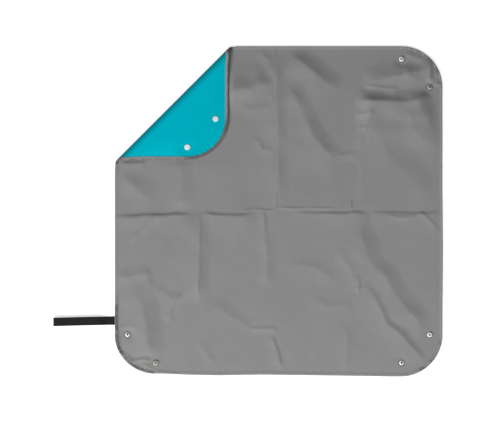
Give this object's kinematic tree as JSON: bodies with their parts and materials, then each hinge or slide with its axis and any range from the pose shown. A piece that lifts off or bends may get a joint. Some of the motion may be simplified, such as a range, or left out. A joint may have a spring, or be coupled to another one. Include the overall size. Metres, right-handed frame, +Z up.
{
  "type": "repotting mat",
  "caption": "Square two-sided cloth mat with bound edges, a press stud pair at each corner, one corner turned over, and a strap loop at the left edge.",
  "frame": {"origin": "on the table under the middle of the whole part, strap included; the mat's own middle is 75 mm from it towards +X", "axes": "+Z up from the table, +Y towards the rear edge with the turned corner at its left, -X towards the strap"},
  "size_m": [0.95, 0.8047, 0.0151],
  "materials": {
    "grey_cloth": "matte woven polyester, fold creases and soft wrinkles",
    "teal_cloth": "smooth waterproof coating with a soft sheen over a fine weave",
    "grey_tape": "woven polyester binding tape, lockstitched",
    "black_webbing": "ribbed elastic webbing",
    "white_plastic": "moulded, satin"
  },
  "bodies": {
    "front_half": {"front_grey_cloth": "grey_cloth", "front_teal_cloth": "teal_cloth", "front_binding": "grey_tape", "front_left_socket": "white_plastic", "front_left_socket_cap": "white_plastic", "front_left_stud": "white_plastic", "front_left_stud_cap": "white_plastic", "front_right_socket": "white_plastic", "front_right_socket_cap": "white_plastic", "front_right_stud": "white_plastic", "front_right_stud_cap": "white_plastic"},
    "rear_half": {"rear_grey_cloth": "grey_cloth", "rear_teal_cloth": "teal_cloth", "rear_left_binding": "grey_tape", "rear_right_binding": "grey_tape", "rear_right_socket": "white_plastic", "rear_right_socket_cap": "white_plastic", "rear_right_stud": "white_plastic", "rear_right_stud_cap": "white_plastic"},
    "corner_roll": {"roll_grey_cloth": "grey_cloth", "roll_teal_cloth": "teal_cloth", "roll_left_binding": "grey_tape", "roll_right_binding": "grey_tape"},
    "turned_corner": {"corner_grey_cloth": "grey_cloth", "corner_teal_cloth": "teal_cloth", "corner_binding": "grey_tape", "rear_left_socket": "white_plastic", "rear_left_socket_cap": "white_plastic", "rear_left_stud": "white_plastic", "rear_left_stud_cap": "white_plastic"},
    "strap": {"strap_loop": "black_webbing"}
  },
  "joints": [
    {"name": "half_fold", "type": "hinge", "parent": "front_half", "child": "rear_half", "pos_m": [0.075, 0, 0.0043], "axis": [1, 0, 0], "range_deg": [0, 175]},
    {"name": "corner_fold", "type": "hinge", "parent": "rear_half", "child": "corner_roll", "pos_m": [-0.18275, 0.25975, 0.0026], "axis": [0.7071, 0.7071, 0], "range_deg": [-90, 0]},
    {"name": "corner_turn", "type": "hinge", "parent": "corner_roll", "child": "turned_corner", "pos_m": [-0.18275, 0.25975, 0.0126], "axis": [0.7071, 0.7071, 0], "range_deg": [-93, 0]},
    {"name": "strap_swing", "type": "hinge", "parent": "front_half", "child": "strap", "pos_m": [-0.3253, -0.268, 0.00495], "axis": [0, 1, 0], "range_deg": [0, 180]}
  ],
  "couplings": [
    {"joint": "corner_turn", "follows": "corner_fold", "ratio": 1.0333}
  ]
}
